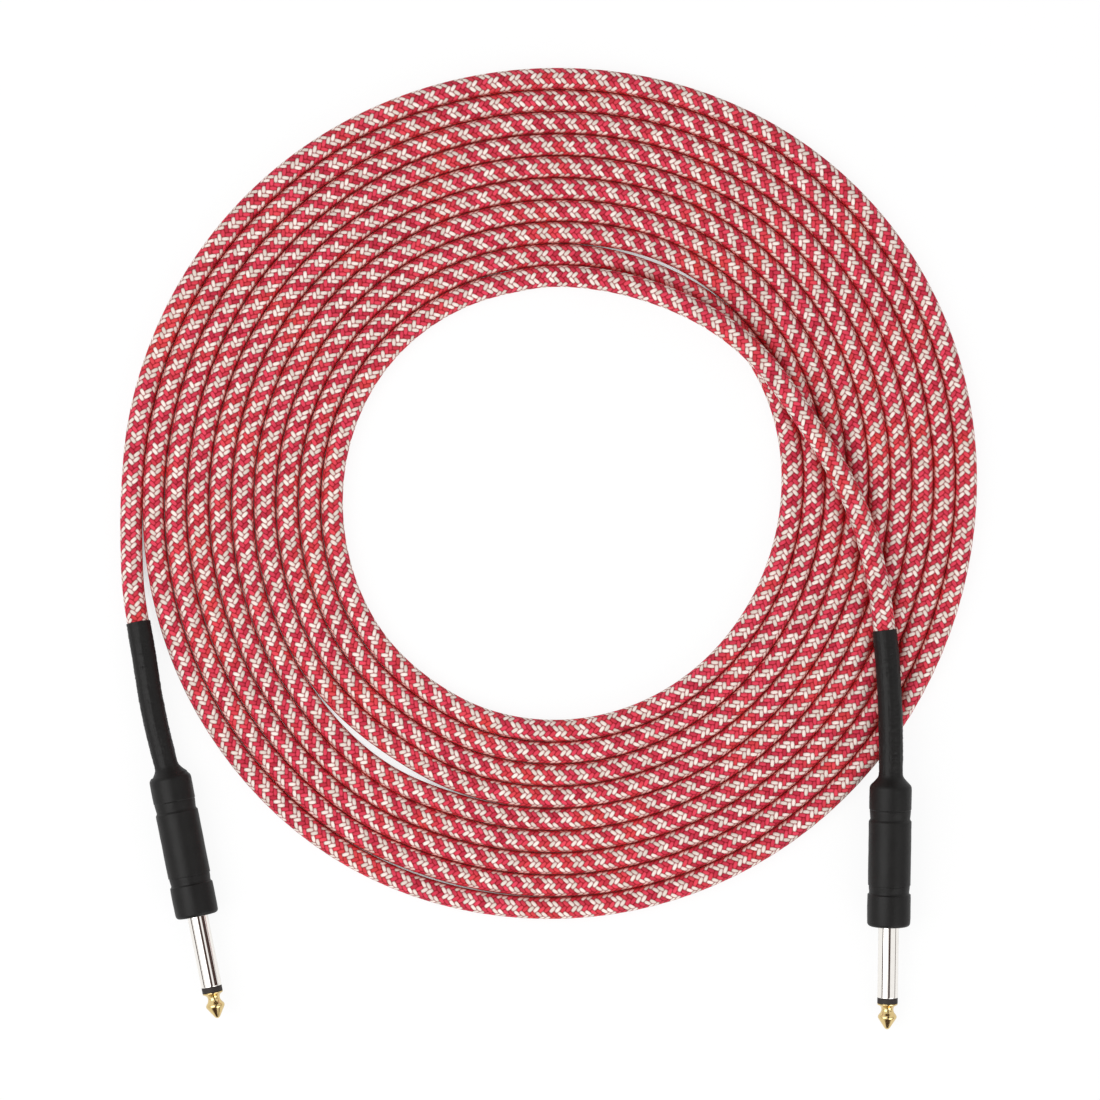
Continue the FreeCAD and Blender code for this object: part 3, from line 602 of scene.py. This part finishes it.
@dataclass
class BraidedCord:
    """The cord in its braid: a round section swept along the route, with the braid's own UV map."""

    route: CordRoute
    finish: BraidedYarn = field(default_factory=BraidedYarn)
    sides: int = 20
    radius: float = 3.415 * MM
    map_name: str = "braid"
    # slow twist of the braid round the cord: turns each way, and waves to a metre of cord
    drifts: tuple[tuple[float, float, float], ...] = ((0.018, 7.0, 0.0), (0.012, 19.0, 1.0))
    length: float = field(init=False, default=0.0)
    line: list[Vector] = field(init=False, default_factory=list)

    def build(self) -> bpy.types.Object:
        """Sweeps the braid's tube along the route.

        Returns:
            The cord as a plain mesh object at the origin.
        """
        holder = self.route.spline()
        self.line = [vertex.co.copy() for vertex in evaluated_mesh(holder).vertices]
        self.length = sum((far - near).length for near, far in zip(self.line, self.line[1:]))
        modifier = holder.modifiers.new("sweep", "NODES")
        modifier.node_group = self.tree()
        values = {
            "Radius": self.radius, "Sides": self.sides, "Repeat": self.finish.repeat,
            "Finish": self.finish.material(),
        }
        for item in modifier.node_group.interface.items_tree:
            if item.name in values:
                modifier[item.identifier] = values[item.name]
        mesh = evaluated_mesh(holder)
        holder.modifiers.remove(modifier)
        bpy.data.objects.remove(holder)
        mesh.name = "cord_in_braid"
        piece = bpy.data.objects.new(mesh.name, mesh)
        bpy.context.scene.collection.objects.link(piece)
        return piece

    def tree(self) -> bpy.types.NodeTree:
        """Node tree that turns the route's spline into the mapped tube.

        Returns:
            The tree, with inputs for the cord's sizes and its finish.
        """
        tree = bpy.data.node_groups.new("cord_sweep", "GeometryNodeTree")
        for name, kind in (
            ("Geometry", "Geometry"), ("Radius", "Float"), ("Sides", "Int"),
            ("Repeat", "Float"), ("Finish", "Material"),
        ):
            tree.interface.new_socket(name=name, in_out="INPUT", socket_type=f"NodeSocket{kind}")
        tree.interface.new_socket(name="Geometry", in_out="OUTPUT", socket_type="NodeSocketGeometry")
        add = partial(add_node, tree)
        given = add("NodeGroupInput").outputs
        route = add("GeometryNodeResampleCurve", {"Curve": given["Geometry"]}, mode="EVALUATED")
        level = add("GeometryNodeSetCurveNormal", {"Curve": route}, mode="Z_UP")
        route_line, along = self.captured(add, level, "Length")
        sizes = {"Resolution": given["Sides"], "Radius": given["Radius"]}
        circle = add("GeometryNodeCurvePrimitiveCircle", sizes)
        section, round_share = self.captured(add, circle, "Factor")
        sweep = {"Curve": route_line, "Profile Curve": section, "Fill Caps": True}
        tube = add("GeometryNodeCurveToMesh", sweep)
        repeats = add(MATH, (along, given["Repeat"]), operation="DIVIDE")
        turn = self.closed_turn(add, round_share)
        for turns, waves, start in self.drifts:
            phase = add(MATH, (along, waves, start), operation="MULTIPLY_ADD")
            wave = add(MATH, (phase,), operation="SINE")
            turn = add(MATH, (wave, turns, turn), operation="MULTIPLY_ADD")
        uv = add("ShaderNodeCombineXYZ", (repeats, turn))
        mapped = add(
            "GeometryNodeStoreNamedAttribute",
            {"Geometry": tube, "Name": self.map_name, "Value": uv},
            data_type="FLOAT2",
            domain="CORNER",
        )
        smooth = add("GeometryNodeSetShadeSmooth", {"Geometry": mapped})
        real = add("GeometryNodeRealizeInstances", {"Geometry": smooth})
        dressed = add("GeometryNodeSetMaterial", {"Geometry": real, "Material": given["Finish"]})
        add("NodeGroupOutput", (dressed,))
        return tree

    def captured(
        self, add: AddNode, curve: bpy.types.Node, measure: str
    ) -> tuple[bpy.types.NodeSocket, bpy.types.NodeSocket]:
        """Keeps a measure of a curve on its points, before the curve is swept.

        Args:
            add: Adds a node to the sweep's tree.
            curve: Node that gives the curve.
            measure: Length or Factor, as the spline parameter names them.

        Returns:
            The curve and the kept value.
        """
        node = add("GeometryNodeCaptureAttribute", (curve,), domain="POINT")
        node.capture_items.new("FLOAT", measure)
        parameter = add("GeometryNodeSplineParameter").outputs[measure]
        node.id_data.links.new(parameter, node.inputs[1])
        return node.outputs[0], node.outputs[1]

    def closed_turn(self, add: AddNode, share: bpy.types.NodeSocket) -> bpy.types.Node:
        """Share of a turn at each corner, which goes on to 1 in the faces that close the round.

        Args:
            add: Adds a node to the sweep's tree.
            share: Share of a turn at each point, 0 at the top.

        Returns:
            The node that gives the share, counted from the cord's left side.
        """
        middle = add("GeometryNodeFieldOnDomain", (share,), data_type="FLOAT", domain="FACE")
        start = add(MATH, (share, 0.01), operation="LESS_THAN")
        late = add(MATH, (middle, 0.25), operation="GREATER_THAN")
        closing = add(MATH, (start, late), operation="MULTIPLY")
        turn = add(MATH, (share, closing), operation="ADD")
        return add(MATH, (turn, 0.25), operation="ADD")


# ---- plugs ----
# where the shrunk tails end on the cord, in mm behind the shoulder
TAIL_START = {Plug.A: -49.5, Plug.B: -48.5}


@dataclass
class HeatShrinkSleeve:
    """Black sleeve shrunk over a plug's housing and over the cord behind it, sizes in mm."""

    frame: PlugFrame
    cord_line: Sequence[Vector]
    material: bpy.types.Material
    braid: BraidedYarn = field(default_factory=BraidedYarn)
    tail_radius: float = 3.76
    tail_step: float = 0.35
    sides: int = 80
    # the housing's rear edge, and where the sleeve leaves the cord's line and meets the plug's axis
    housing_rear: float = -3.1
    leaves_cord: float = -4.5
    meets_axis: float = -1.0
    # the braid shows through the wall behind the first place; the wall is thicker between the two
    bare_cord: float = -4.0
    front_lip: float = 42.0
    profile: tuple[tuple[float, float], ...] = (
        (-8.0, 3.72), (-4.6, 3.7), (-3.6, 3.8), (-2.8, 4.12), (-1.7, 5.05), (-0.7, 6.02),
        (-0.1, 6.4), (0.6, 6.52), (3.0, 6.54), (6.5, 6.54), (6.95, 6.51), (7.2, 6.34),
        (7.5, 6.4), (8.4, 6.32), (9.4, 6.22), (9.95, 6.18), (10.35, 6.34), (10.7, 6.56),
        (11.2, 6.62), (15.0, 6.62), (22.0, 6.62), (29.8, 6.6), (30.3, 6.56), (30.55, 6.36),
        (30.9, 6.4), (31.8, 6.32), (32.8, 6.24), (33.2, 6.34), (33.5, 6.6), (33.9, 6.71),
        (38.0, 6.72), (41.9, 6.7), (42.75, 6.56), (43.2, 6.16), (43.38, 5.5), (43.3, 4.3),
    )

    def build(self) -> bpy.types.Object:
        """Loft along the cord and then along the plug's axis.

        Returns:
            The sleeve.
        """
        stations = self.stations()
        vertices: list[Vector] = []
        for centre, forward, radius, place in stations:
            left = Vector((0.0, 0.0, 1.0)).cross(forward).normalized()
            up = forward.cross(left)
            for side in range(self.sides):
                angle = 2 * math.pi * side / self.sides
                reach = radius + self.crease(place, angle)
                if place < self.bare_cord:
                    reach += self.braid_below(place, angle)
                vertices.append(centre + (left * math.cos(angle) + up * math.sin(angle)) * (reach * MM))
        faces = rings_to_faces(len(stations), self.sides)
        name = f"plug_{self.frame.plug.value}_shrunk_sleeve"
        return mesh_object(name, vertices, faces, self.material)

    def crease(self, place: float, angle: float) -> float:
        """Small unevenness of the shrunk wall, in mm, at a place and angle."""
        wave = Vector((place * 0.22, math.cos(angle) * 1.3, math.sin(angle) * 1.3))
        fine = Vector((place * 0.8, math.cos(angle) * 4.0, math.sin(angle) * 4.0))
        depth = 0.05 if self.bare_cord <= place <= self.front_lip else 0.07
        return depth * noise.noise(wave) + 0.03 * noise.noise(fine)

    def braid_below(self, place: float, angle: float) -> float:
        """Height in mm by which the yarns under the shrunk wall show through it."""
        way = Vector((0.0, math.cos(angle), math.sin(angle)))
        wander = 0.35 * noise.noise(way + Vector((place * 0.3, 0.0, 0.0)))
        along = place * self.braid.ends / (self.braid.repeat / MM) + wander
        sideways = angle * self.braid.ends * self.braid.repeats_round / (2 * math.pi)
        ridges = math.cos(2 * math.pi * (along + sideways)) * math.cos(2 * math.pi * (along - sideways))
        kept = 0.5 + noise.noise(way * 2.0 + Vector((place * 0.5, 0.0, 0.0)))
        crinkle = noise.noise(way * 2.5 + Vector((place * 2.2, 0.0, 0.0)))
        return 0.1 * ridges * max(kept, 0.0) + 0.1 * crinkle

    def stations(self) -> list[tuple[Vector, Vector, float, float]]:
        """Rings of the sleeve, from the tail's end on the cord to the front lip.

        Returns:
            Centre, direction, radius in mm and place of each ring.
        """
        found = []
        place = TAIL_START[self.frame.plug]
        # rolled edge of the tail
        for back, inward in ((0.0, 0.25), (0.02, 0.08), (0.12, 0.0)):
            centre, forward = self.centre_at(place + back)
            found.append((centre, forward, self.tail_radius - inward, place + back))
        place += self.tail_step
        while place < self.profile[0][0]:
            centre, forward = self.centre_at(place)
            found.append((centre, forward, self.tail_radius + self.swell(place, centre), place))
            place += self.tail_step
        for place, radius in smooth_profile(self.profile, 6):
            centre, forward = self.centre_at(place)
            found.append((centre, forward, radius + self.swell(place, centre), place))
        return found

    def swell(self, place: float, centre: Vector) -> float:
        """Extra radius in mm where the wall's middle lies beside the housing's or the cord's."""
        on_housing = place > self.housing_rear
        covered = self.frame.on_axis(place * MM) if on_housing else self.on_cord(place)[0]
        return (centre - covered).length / MM

    def centre_at(self, place: float) -> tuple[Vector, Vector]:
        """Centre and direction of the wall at a place along the plug.

        Args:
            place: Millimetres in front of the shoulder, negative on the cord.

        Returns:
            The two vectors, which pass smoothly from the cord's line to the plug's axis.
        """
        on_axis = self.frame.on_axis(place * MM)
        if place >= self.meets_axis:
            return on_axis, self.frame.axis
        share = max((place - self.leaves_cord) / (self.meets_axis - self.leaves_cord), 0.0)
        centre, forward = self.on_cord(place)
        return centre.lerp(on_axis, share * share * (3.0 - 2.0 * share)), forward

    def on_cord(self, place: float) -> tuple[Vector, Vector]:
        """Point of the cord's line behind its face, and the direction towards the plug.

        Args:
            place: Millimetres in front of the shoulder, negative on the cord.

        Returns:
            The point and the unit direction.

        Raises:
            ValueError: The cord's line ends before that place.
        """
        left_over = CORD_FACE - place * MM
        for near, far in zip(self.cord_line, self.cord_line[1:]):
            run = (far - near).length
            if left_over <= run:
                return near.lerp(far, left_over / run), (near - far).normalized()
            left_over -= run
        raise ValueError("the sleeve is longer than the cord")


def smooth_profile(points: Sequence[tuple[float, float]], steps: int) -> list[tuple[float, float]]:
    """Catmull-Rom points through a profile.

    Args:
        points: Place and radius of the profile's own points.
        steps: Pieces between two of them.

    Returns:
        The denser profile, with the first and last points kept.
    """
    dense: list[tuple[float, float]] = []
    padded = [points[0], *points, points[-1]]
    for before, start, end, after in zip(padded, padded[1:], padded[2:], padded[3:]):
        for step in range(steps):
            t = step / steps
            dense.append(tuple(
                0.5 * (
                    2 * start[k] + (end[k] - before[k]) * t
                    + (2 * before[k] - 5 * start[k] + 4 * end[k] - after[k]) * t * t
                    + (3 * start[k] - before[k] - 3 * end[k] + after[k]) * t ** 3
                )
                for k in (0, 1)
            ))
    dense.append(points[-1])
    return dense


@dataclass
class TurnedPiece:
    """Piece of revolution about a plug's axis."""

    frame: PlugFrame
    name: str
    profile: Sequence[tuple[float, float]]
    material: bpy.types.Material
    sides: int = 96

    def build(self) -> bpy.types.Object:
        """Closed mesh turned from the profile, which runs from the rear of the axis to its front.

        Returns:
            The piece.
        """
        vertices: list[Vector] = []
        for place, radius in self.profile:
            for side in range(self.sides):
                angle = 2 * math.pi * side / self.sides
                vertices.append(self.frame.around(place * MM, radius * MM, angle))
        faces = rings_to_faces(len(self.profile), self.sides)
        return mesh_object(self.name, vertices, faces, self.material)


@dataclass
class JackShaft:
    """Bright parts of a plug: sleeve, black ring and pointed tip, sizes in mm."""

    frame: PlugFrame
    nickel: bpy.types.Material
    ring: bpy.types.Material
    gold: bpy.types.Material
    radius: float = 3.175
    bore: float = 0.3
    collar_rear: float = 31.7
    collar_radius: float = 5.9
    face: float = 42.8
    sleeve_end: float = 65.65
    ring_end: float = 67.45

    def build(self) -> dict[str, bpy.types.Object]:
        """The three pieces by the node that each stands for.

        Returns:
            Sleeve, ring and tip.
        """
        parts = {
            "jack_sleeve": ("bright_sleeve", self.sleeve_profile(), self.nickel),
            "ring_insulator": ("black_ring", self.ring_profile(), self.ring),
            "tip_contact": ("pointed_tip", self.tip_profile(), self.gold),
        }
        return {
            node: TurnedPiece(
                self.frame, f"plug_{self.frame.plug.value}_{name}", profile, material
            ).build()
            for node, (name, profile, material) in parts.items()
        }

    def sleeve_profile(self) -> list[tuple[float, float]]:
        """Collar face and plain sleeve with a fine edge at its end."""
        return [
            (self.collar_rear, self.bore), (self.collar_rear, self.collar_radius),
            (self.face - 0.3, self.collar_radius), (self.face, self.collar_radius - 0.3),
            (self.face, self.radius),
            (self.sleeve_end - 0.25, self.radius), (self.sleeve_end - 0.12, self.radius),
            (self.sleeve_end - 0.03, self.radius - 0.03), (self.sleeve_end, self.radius - 0.12),
            (self.sleeve_end, self.bore),
        ]

    def ring_profile(self) -> list[tuple[float, float]]:
        """Plain ring with softened edges."""
        return [
            (self.sleeve_end, self.bore), (self.sleeve_end, self.radius - 0.1),
            (self.sleeve_end + 0.08, self.radius), (self.sleeve_end + 0.2, self.radius),
            (self.ring_end - 0.2, self.radius), (self.ring_end - 0.08, self.radius),
            (self.ring_end, self.radius - 0.1), (self.ring_end, self.bore),
        ]

    def tip_profile(self) -> list[tuple[float, float]]:
        """Flange, waisted neck, bulb and cone with a small rounded nose."""
        ring = self.ring_end
        outline = (
            (0.42, 3.12), (0.62, 2.72), (0.9, 2.3), (1.3, 1.98), (1.85, 1.87), (2.4, 1.93), (3.0, 2.22),
            (3.5, 2.62), (3.9, 2.86), (4.25, 2.92), (4.65, 2.84), (5.2, 2.5), (5.9, 2.04), (6.6, 1.58),
            (7.2, 1.18), (7.65, 0.88), (7.95, 0.6), (8.12, 0.32), (8.2, 0.06),
        )
        smooth = smooth_profile(outline, 4)
        start = [(ring, self.bore), (ring, 3.08), (ring + 0.07, 3.17), (ring + 0.32, 3.17)]
        return start + [(ring + place, radius) for place, radius in smooth]


# ---- stage ----
@dataclass
class Studio:
    """Pale floor, soft lights and the camera straight above."""

    look_at: tuple[float, float] = (9.58 * MM, 84.68 * MM)
    view_width: float = 341.0 * MM
    distance: float = 1.6
    sensor: float = 36.0
    subject_height: float = 5.0 * MM
    floor_half: float = 4.0
    floor_height: float = -0.2 * MM
    room: float = 0.72
    dark_room: str = "#4A3834"

    def build(self) -> None:
        """Makes the floor, the lights, the world and the camera."""
        self.floor()
        self.world()
        self.lamp("west_diffuser", (-0.75, -0.15, 1.1), 1.0, 9.0)
        self.lamp("east_diffuser", (0.85, -1.0, 0.85), 0.9, 7.0)
        self.camera()
        LOG.info("stage: floor, white room, two diffusers and camera")

    def floor(self) -> None:
        """Large pale floor that keeps the object's shadow."""
        corners = [
            Vector((x * self.floor_half, y * self.floor_half, 0.0))
            for x, y in ((-1, -1), (1, -1), (1, 1), (-1, 1))
        ]
        # matt white paper: even and without gloss, so that it takes a soft shadow and no reflection
        material, add = empty_material("paper_white_matte")
        matt = {"Base Color": linear("#F4F4F4"), "Roughness": 0.9}
        paper = add("ShaderNodeBsdfPrincipled", matt)
        glow = add("ShaderNodeEmission", {"Color": (1.0, 1.0, 1.0, 1.0), "Strength": 1.0})
        # narrow places between the turns see little of the room, so the paper is dark there
        air = add("ShaderNodeAmbientOcclusion", {"Distance": 12 * MM}, samples=8).outputs["AO"]
        rays = add("ShaderNodeLightPath").outputs
        lit = add(RANGE, (air, 0.006, 0.03, 0.0, 0.9))
        mirrored = add(RANGE, (air, 0.3, 1.0, 0.0, 0.8))
        bent = (rays["Is Glossy Ray"], rays["Is Transmission Ray"])
        polished = add(MATH, bent, operation="MAXIMUM")
        reflected = add(MATH, (polished, mirrored), operation="MULTIPLY")
        share = add(MATH, (rays["Is Camera Ray"], lit, reflected), operation="MULTIPLY_ADD")
        add("ShaderNodeOutputMaterial", (add("ShaderNodeMixShader", (share, paper, glow)),))
        floor = mesh_object("floor", corners, [(0, 1, 2, 3)], material)
        floor.location.z = self.floor_height

    def world(self) -> None:
        """White surroundings that light the object softly, with dark seams between the diffusers."""
        world = bpy.data.worlds.new("studio_white")
        bpy.context.scene.world = world
        world.use_nodes = True
        world.node_tree.nodes.clear()
        add = partial(add_node, world.node_tree)
        rays = add("ShaderNodeLightPath").outputs
        # rays from the camera, and those that polished metal sends on, see the full white
        bent = (rays["Is Glossy Ray"], rays["Is Transmission Ray"])
        polished = add(MATH, bent, operation="MAXIMUM")
        seen = add(MATH, (rays["Is Camera Ray"], polished), operation="MAXIMUM")
        bright = add(MATH, (seen, 1.0 - self.room, self.room), operation="MULTIPLY_ADD")
        seams = (self.diffuser_seams(add), rays["Is Glossy Ray"])
        dark = add(MATH, seams, operation="MULTIPLY")
        walls = {0: dark, 6: (1.0, 1.0, 1.0, 1.0), 7: linear(self.dark_room)}
        colour = add(MIX, walls, data_type="RGBA")
        back = add("ShaderNodeBackground", {"Color": colour, "Strength": bright})
        add("ShaderNodeOutputWorld", (back,))

    def diffuser_seams(self, add: AddNode) -> bpy.types.Node:
        """Darkness of the gaps between the diffusers, by direction in the room.

        Args:
            add: Adds a node to the world's tree.

        Returns:
            The node that gives 1 in a gap and 0 in front of a diffuser.
        """
        way = add("ShaderNodeTexCoord").outputs["Generated"]
        east, north, high = add("ShaderNodeSeparateXYZ", (way,)).outputs
        upward = add(MATH, (high, 0.01), operation="MAXIMUM")
        lean = add(MATH, (east, upward), operation="DIVIDE")
        overhead = self.band(add, lean, 0.2, 0.17, 0.04)
        # bearings are tangents of the angle from due east or west, positive to the north of east
        bearing = add(MATH, (north, east), operation="DIVIDE")
        opening = self.band(add, bearing, 0.16, 0.09, 0.04)
        lintel = self.band(add, high, 0.45, 0.27, 0.05)
        doorway = add(MATH, (opening, lintel), operation="MULTIPLY")
        southward = add(MATH, (bearing, -0.1), operation="LESS_THAN")
        low = self.band(add, high, 0.03, 0.09, 0.05)
        table_end = add(MATH, (southward, low), operation="MULTIPLY")
        east_edge = add(MATH, (doorway, table_end), operation="MAXIMUM")
        sloping = add(MATH, (bearing, 2.67, high), operation="MULTIPLY_ADD")
        climb = add(MATH, (sloping, 0.82), operation="SUBTRACT")
        west_edge = self.band(add, climb, 0.0, 0.11, 0.05)
        eastward = add(MATH, (east, 0.2), operation="GREATER_THAN")
        westward = add(MATH, (east, -0.2), operation="LESS_THAN")
        # the dark room beyond the ends of the table, that the cones and the grips' dips look at
        lengthwise = add(MATH, (north,), operation="ABSOLUTE")
        endward = add(MATH, (lengthwise, 0.3), operation="GREATER_THAN")
        aside = add(MATH, (east, north), operation="DIVIDE")
        middle = self.band(add, aside, 0.0, 0.3, 0.25)
        raised = self.band(add, high, 0.3, 0.22, 0.12)
        beyond = add(MATH, (middle, raised), operation="MULTIPLY")
        darkest = overhead
        for side, gap in ((eastward, east_edge), (westward, west_edge), (endward, beyond)):
            dark = add(MATH, (side, gap), operation="MULTIPLY")
            darkest = add(MATH, (darkest, dark), operation="MAXIMUM")
        return darkest

    def band(
        self, add: AddNode, value: object, middle: float, half: float, soft: float
    ) -> bpy.types.Node:
        """1 within half of the middle, falling to 0 over the soft edge."""
        signed = add(MATH, (value, middle), operation="SUBTRACT")
        off = add(MATH, (signed,), operation="ABSOLUTE")
        return add(RANGE, (off, half, half + soft, 1.0, 0.0))

    def lamp(self, name: str, place: tuple[float, float, float], size: float, power: float) -> None:
        """Square area lamp that faces the coil."""
        light = bpy.data.lights.new(name, "AREA")
        light.size = size
        light.energy = power
        lamp = bpy.data.objects.new(name, light)
        target = Vector((self.look_at[0], self.look_at[1], 0.0))
        lamp.location = Vector(place) + target
        lamp.rotation_euler = (target - lamp.location).to_track_quat("-Z", "Y").to_euler()
        bpy.context.scene.collection.objects.link(lamp)

    def camera(self) -> None:
        """Long lens straight above the coil."""
        data = bpy.data.cameras.new("camera")
        data.sensor_width = self.sensor
        data.lens = self.sensor * self.distance / self.view_width
        camera = bpy.data.objects.new("camera", data)
        camera.location = (self.look_at[0], self.look_at[1], self.distance + self.subject_height)
        bpy.context.scene.collection.objects.link(camera)
        bpy.context.scene.camera = camera


# ---- assembly ----
def dress_nodes(frame: dict, plug: Plug) -> None:
    """Gives each CAD node inside a plug the finish of the real piece."""
    tinned = TurnedMetal("brass_tinned_stamped", "#B9B6AC", "#A5A198", 0.3)
    solder = TurnedMetal("solder_tin_melted", "#B4B6B8", "#A0A2A4", 0.2)
    inner = {
        # milky, half matt moulding, and a brown pressed one
        "rod_sleeving": MouldedPlastic("nylon_white_moulded", "#D8D4C8", "#C8C2B4"),
        "rear_bush": MouldedPlastic("phenolic_brown_moulded", "#5A3A22", "#4A2E1A"),
        # grey tags with a soft sheen, and a brighter turned housing with a matt red liner
        "tip_tag": tinned,
        "sleeve_tag": tinned,
        "housing": TurnedMetal("brass_nickel_plated_turned", "#B8B6B0", "#A9A69E", 0.25),
        "housing_liner": MouldedPlastic("fibre_paper_rolled", "#8E2F28", "#7A2620", 0.6),
        # speckled cut yarn, dull black jacket and a clear core that looks cloudy
        "cable_braid": MouldedPlastic("polyester_yarn_cut", "#A8203A", "#D8CFC0", 0.8, 1.2 * MM),
        "cable_jacket": MouldedPlastic("pvc_black_extruded", "#1B1B1D", "#262628", 0.5),
        "cable_core": MouldedPlastic("polyethylene_clear_extruded", "#E4E0D6", "#D6D0C4", 0.35),
        # warm bare copper, paler tinned copper, and solder melted to a smooth bright bead
        "core_wire": TurnedMetal("copper_bare_stranded", "#C4703C", "#B06030", 0.3),
        "cable_shield": TurnedMetal("copper_tinned_wrapped", "#B98A6A", "#A87858", 0.35),
        "tip_solder": solder,
        "sleeve_solder": solder,
    }
    for key, finish in inner.items():
        node = frame["nodes"][f"plug_{plug.value}_{key}"]
        node.data.materials.clear()
        node.data.materials.append(bpy.data.materials.get(finish.name) or finish.material())
        LOG.info("dressed %s with %s", node.name, finish.name)


def main() -> None:
    """Builds the cable in order and logs the stage, the cord, each sleeve and each dressed node."""
    logging.basicConfig(level=logging.INFO, format="%(message)s", stream=sys.stdout)
    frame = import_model()
    bpy.context.scene.view_settings.view_transform = "Standard"
    Studio().build()

    frames = {plug: PlugFrame(plug, frame["record"]) for plug in Plug}
    cord = BraidedCord(CordRoute(frames[Plug.A], frames[Plug.B]))
    cord_piece = cord.build()
    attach(cord_piece, "root")
    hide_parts("cord_coil", "cord_lead_a", "cord_lead_b")
    LOG.info("%s: %.3f m of cord", cord_piece.name, cord.length)

    shrunk = ShrunkPolyolefin().material()
    # near-white mirror, pale softly polished gold, and a dull black that leans to brown
    nickel = TurnedMetal("nickel_plate_turned", "#F6F3EE", "#ECE8E2", 0.07).material()
    gold = TurnedMetal("gold_plate_turned", "#E4CD94", "#CFB37A", 0.16).material()
    black = MouldedPlastic("nylon_black_moulded", "#170E09", "#21150E", 0.65).material()
    for plug, line in ((Plug.A, cord.line), (Plug.B, list(reversed(cord.line)))):
        dress_nodes(frame, plug)
        sleeve = HeatShrinkSleeve(frames[plug], line, shrunk).build()
        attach(sleeve, "root")
        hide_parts(f"plug_{plug.value}_heat_shrink")
        LOG.info("%s: over the handle and the cord's end", sleeve.name)
        pieces = JackShaft(frames[plug], nickel, black, gold).build()
        for key, piece in pieces.items():
            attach(piece, "root")
            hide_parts(f"plug_{plug.value}_{key}")


if __name__ == "__main__":
    main()
